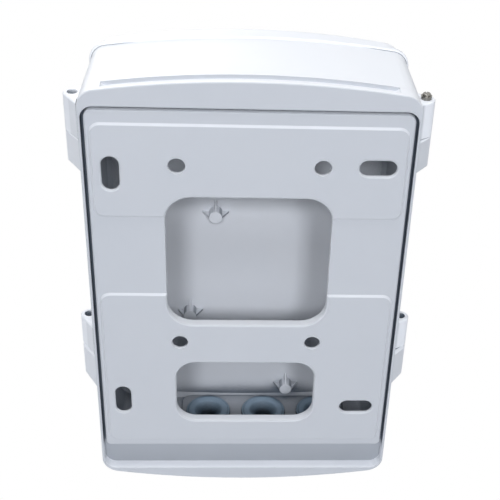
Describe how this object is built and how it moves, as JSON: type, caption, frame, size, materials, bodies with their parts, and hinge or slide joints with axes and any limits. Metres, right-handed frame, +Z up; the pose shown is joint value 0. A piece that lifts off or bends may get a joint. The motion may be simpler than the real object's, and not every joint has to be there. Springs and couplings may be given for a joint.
{
  "type": "camera power box",
  "caption": "Wall-mounted cast camera power box: deep hinged housing over a shallow rear frame with a slotted mounting plate.",
  "frame": {"origin": "centre of the four round fixing holes, on the wall plane", "axes": "+Z up, +Y into the wall, so the box stands out towards -Y; +X to the right seen from the front"},
  "size_m": [0.1992, 0.079, 0.283],
  "materials": {
    "coated_casting": "fine-textured powder coat on die-cast aluminium",
    "gasket_rubber": "moulded rubber",
    "grommet_rubber": "moulded rubber",
    "stainless_steel": "satin stainless steel"
  },
  "bodies": {
    "frame": {"rear_frame": "coated_casting", "mounting_plate": "coated_casting", "frame_gasket": "gasket_rubber", "hinge_bush": "stainless_steel", "hinge_washer": "stainless_steel", "hinge_screw": "stainless_steel", "hinge_pin": "stainless_steel", "plate_screw_1": "stainless_steel", "plate_screw_2": "stainless_steel", "plate_screw_3": "stainless_steel", "plate_screw_4": "stainless_steel", "plate_screw_5": "stainless_steel", "plate_screw_6": "stainless_steel"},
    "housing_door": {"housing": "coated_casting", "cable_grommet_1": "grommet_rubber", "cable_grommet_2": "grommet_rubber", "cable_grommet_3": "grommet_rubber"}
  },
  "joints": [
    {"name": "housing_hinge", "type": "hinge", "parent": "frame", "child": "housing_door", "pos_m": [-0.0946, -0.0185, 0], "axis": [0, 0, -1], "range_deg": [0, 105]}
  ]
}
